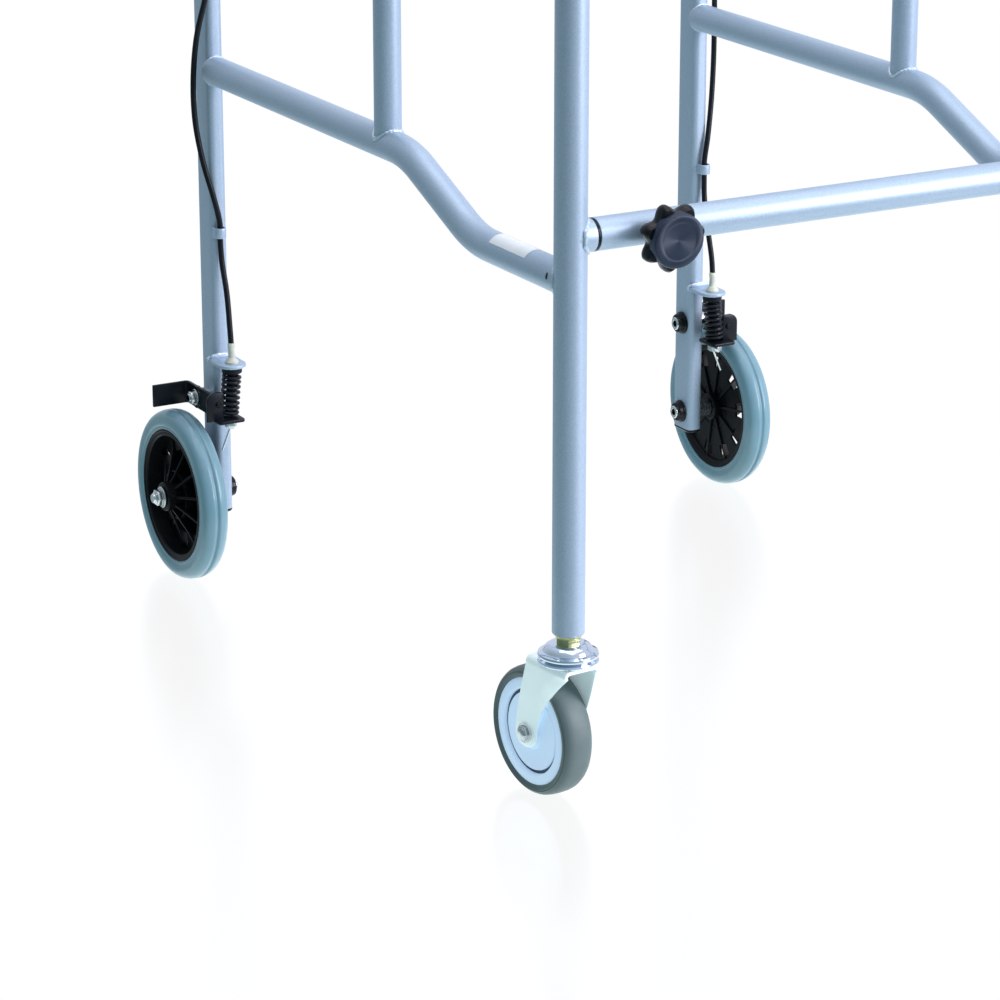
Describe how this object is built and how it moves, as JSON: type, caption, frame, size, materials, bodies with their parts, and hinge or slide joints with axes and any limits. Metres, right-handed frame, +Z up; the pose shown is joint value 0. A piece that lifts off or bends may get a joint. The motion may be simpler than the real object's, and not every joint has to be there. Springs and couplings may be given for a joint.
{
  "type": "walking frame",
  "caption": "Four-wheeled walking frame with swivel front casters, braked rear wheels, hand grips and height-adjustable underarm pads.",
  "frame": {"origin": "on the floor, in the middle of the frame's plan", "axes": "+Z up, -Y towards the front (the swivel casters), +Y towards the open rear, +X towards the side frame that slides out"},
  "size_m": [0.62, 0.7359, 1.2403],
  "materials": {
    "frame_paint": "metallic silver-blue gloss",
    "zinc_steel": "bright zinc plate",
    "chrome_tube": "polished",
    "black_steel": "satin black powder coat",
    "spring_steel": "black",
    "black_plastic": "moulded gloss",
    "cable_housing": "satin",
    "grip_foam": "matte foam",
    "pad_vinyl": "grained vinyl",
    "tyre_blue": "smooth translucent blue-grey",
    "tyre_grey": "smooth dark grey",
    "hub_grey": "satin moulded"
  },
  "bodies": {
    "left_frame": {"front_leg_left": "frame_paint", "lower_rail_left": "frame_paint", "guide_tube_left": "frame_paint", "top_rail_left": "frame_paint", "rear_leg_left": "frame_paint", "rear_leg_plug_left": "black_plastic", "hand_grip_left": "grip_foam", "lever_bracket_left": "black_steel", "brake_cable_left": "cable_housing", "brake_bracket_left": "frame_paint", "cable_adjuster_left": "zinc_steel", "brake_spring_left": "spring_steel", "brake_pivot_bolt_left": "zinc_steel", "rear_axle_bolt_left": "zinc_steel", "caster_stem_left": "zinc_steel", "crossbar_inner_lower": "frame_paint", "crossbar_inner_upper": "frame_paint"},
    "right_frame": {"front_leg_right": "frame_paint", "lower_rail_right": "frame_paint", "guide_tube_right": "frame_paint", "top_rail_right": "frame_paint", "rear_leg_right": "frame_paint", "rear_leg_plug_right": "black_plastic", "hand_grip_right": "grip_foam", "lever_bracket_right": "black_steel", "brake_cable_right": "cable_housing", "brake_bracket_right": "frame_paint", "cable_adjuster_right": "zinc_steel", "brake_spring_right": "spring_steel", "brake_pivot_bolt_right": "zinc_steel", "rear_axle_bolt_right": "zinc_steel", "caster_stem_right": "zinc_steel", "crossbar_outer_lower": "frame_paint", "crossbar_outer_upper": "frame_paint", "crossbar_bushing_lower": "black_plastic", "crossbar_bushing_upper": "black_plastic"},
    "caster_left": {"caster_fork_left": "zinc_steel", "caster_axle_left": "zinc_steel"},
    "caster_wheel_left": {"caster_hub_left": "hub_grey", "caster_tyre_left": "tyre_grey"},
    "rear_wheel_left": {"rear_hub_left": "black_plastic", "rear_tyre_left": "tyre_blue"},
    "brake_lever_left": {"brake_lever_left": "black_steel"},
    "brake_arm_left": {"brake_arm_left": "black_steel"},
    "support_left": {"support_post_left": "chrome_tube", "underarm_pad_left": "pad_vinyl"},
    "height_knob_left": {"height_knob_left": "black_plastic"},
    "caster_right": {"caster_fork_right": "zinc_steel", "caster_axle_right": "zinc_steel"},
    "caster_wheel_right": {"caster_hub_right": "hub_grey", "caster_tyre_right": "tyre_grey"},
    "rear_wheel_right": {"rear_hub_right": "black_plastic", "rear_tyre_right": "tyre_blue"},
    "brake_lever_right": {"brake_lever_right": "black_steel"},
    "brake_arm_right": {"brake_arm_right": "black_steel"},
    "support_right": {"support_post_right": "chrome_tube", "underarm_pad_right": "pad_vinyl"},
    "height_knob_right": {"height_knob_right": "black_plastic"},
    "width_knob_lower": {"width_knob_lower": "black_plastic"},
    "width_knob_upper": {"width_knob_upper": "black_plastic"}
  },
  "joints": [
    {"name": "width_slide", "type": "slide", "parent": "left_frame", "child": "right_frame", "axis": [1, 0, 0], "range_m": [0, 0.12]},
    {"name": "caster_swivel_left", "type": "hinge", "parent": "left_frame", "child": "caster_left", "pos_m": [-0.245, -0.328, 0.1], "axis": [0, 0, 1], "continuous": true},
    {"name": "caster_spin_left", "type": "hinge", "parent": "caster_left", "child": "caster_wheel_left", "pos_m": [-0.24845, -0.29518, 0.051], "axis": [0.9945, 0.1045, 0], "continuous": true},
    {"name": "rear_spin_left", "type": "hinge", "parent": "left_frame", "child": "rear_wheel_left", "pos_m": [-0.281, 0.292, 0.076], "axis": [1, 0, 0], "continuous": true},
    {"name": "brake_lever_turn_left", "type": "hinge", "parent": "left_frame", "child": "brake_lever_left", "pos_m": [-0.245, 0.036, 0.85], "axis": [1, 0, 0], "range_deg": [0, 12], "stiffness_Nm_per_rad": 2, "springref_deg": -8.59},
    {"name": "brake_arm_turn_left", "type": "hinge", "parent": "left_frame", "child": "brake_arm_left", "pos_m": [-0.2635, 0.292, 0.163], "axis": [-1, 0, 0], "range_deg": [0, 7.2], "deforming": ["brake_spring_left"]},
    {"name": "support_slide_left", "type": "slide", "parent": "left_frame", "child": "support_left", "axis": [0, 0, 1], "range_m": [-0.1, 0.12]},
    {"name": "height_knob_turn_left", "type": "hinge", "parent": "left_frame", "child": "height_knob_left", "pos_m": [-0.245, -0.042, 0.935], "axis": [0, -1, 0], "range_deg": [0, 720]},
    {"name": "caster_swivel_right", "type": "hinge", "parent": "right_frame", "child": "caster_right", "pos_m": [0.245, -0.328, 0.1], "axis": [0, 0, 1], "continuous": true},
    {"name": "caster_spin_right", "type": "hinge", "parent": "caster_right", "child": "caster_wheel_right", "pos_m": [0.24845, -0.29518, 0.051], "axis": [0.9945, -0.1045, 0], "continuous": true},
    {"name": "rear_spin_right", "type": "hinge", "parent": "right_frame", "child": "rear_wheel_right", "pos_m": [0.281, 0.292, 0.076], "axis": [1, 0, 0], "continuous": true},
    {"name": "brake_lever_turn_right", "type": "hinge", "parent": "right_frame", "child": "brake_lever_right", "pos_m": [0.245, 0.036, 0.85], "axis": [1, 0, 0], "range_deg": [0, 12], "stiffness_Nm_per_rad": 2, "springref_deg": -8.59},
    {"name": "brake_arm_turn_right", "type": "hinge", "parent": "right_frame", "child": "brake_arm_right", "pos_m": [0.2635, 0.292, 0.163], "axis": [-1, 0, 0], "range_deg": [0, 7.2], "deforming": ["brake_spring_right"]},
    {"name": "support_slide_right", "type": "slide", "parent": "right_frame", "child": "support_right", "axis": [0, 0, 1], "range_m": [-0.1, 0.12]},
    {"name": "height_knob_turn_right", "type": "hinge", "parent": "right_frame", "child": "height_knob_right", "pos_m": [0.245, -0.042, 0.935], "axis": [0, -1, 0], "range_deg": [0, 720]},
    {"name": "width_knob_turn_lower", "type": "hinge", "parent": "right_frame", "child": "width_knob_lower", "pos_m": [-0.175, -0.328, 0.443], "axis": [0, -0.9945, -0.1045], "range_deg": [0, 720]},
    {"name": "width_knob_turn_upper", "type": "hinge", "parent": "right_frame", "child": "width_knob_upper", "pos_m": [-0.175, -0.328, 0.78], "axis": [0, -0.9945, -0.1045], "range_deg": [0, 720]}
  ],
  "couplings": [
    {"joint": "brake_arm_turn_left", "follows": "brake_lever_turn_left", "ratio": 0.6},
    {"joint": "brake_arm_turn_right", "follows": "brake_lever_turn_right", "ratio": 0.6}
  ]
}
